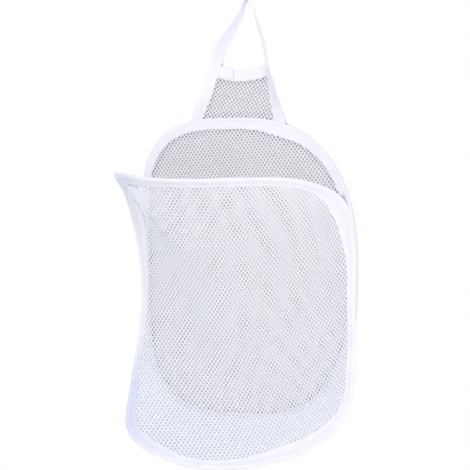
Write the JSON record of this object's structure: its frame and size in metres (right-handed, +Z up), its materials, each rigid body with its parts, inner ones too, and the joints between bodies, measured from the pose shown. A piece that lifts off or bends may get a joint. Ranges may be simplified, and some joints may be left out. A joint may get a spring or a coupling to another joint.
{
  "type": "pop up laundry hamper",
  "caption": "Pop up laundry hamper of sprung wire loops, net panels and a cloth gusset, open at the top, that hangs flat on a wall from a strap loop.",
  "frame": {"origin": "inside of the top of the strap's loop, where the hook bears, at the strap's wall-side edge", "axes": "+X to the right as seen from the front, +Y into the wall, +Z up, so the front faces -Y"},
  "size_m": [0.3392, 0.1496, 0.6689],
  "materials": {
    "binding_tape": "matt woven",
    "webbing": "matt woven",
    "hem_tape": "matt woven",
    "net": "matt knitted",
    "gusset_cloth": "smooth",
    "spring_wire": "drawn",
    "crimp_steel": "satin"
  },
  "bodies": {
    "hanger": {"hanging_strap": "webbing", "tab_mesh": "net", "tab_top_band": "binding_tape"},
    "basket": {"back_frame_wire": "spring_wire", "back_wire_sleeve": "crimp_steel", "back_binding": "binding_tape", "back_mesh": "net", "gusset": "gusset_cloth", "left_mouth_hem": "hem_tape", "right_mouth_hem": "hem_tape", "sewn_tab": "binding_tape"},
    "front": {"front_frame_wire": "spring_wire", "front_wire_sleeve": "crimp_steel", "front_binding": "binding_tape", "front_mesh": "net"}
  },
  "joints": [
    {"name": "basket_swing", "type": "hinge", "parent": "hanger", "child": "basket", "pos_m": [0, -0.0026, -0.17185], "axis": [-1, 0, 0], "range_deg": [0, 90]},
    {"name": "front_press", "type": "slide", "parent": "basket", "child": "front", "axis": [0, 1, 0], "range_m": [0, 0.12], "stiffness_N_per_m": 40, "springref_m": -0.02, "deforming": ["front_frame_wire", "front_wire_sleeve", "front_binding", "front_mesh", "gusset", "left_mouth_hem", "right_mouth_hem"]}
  ]
}
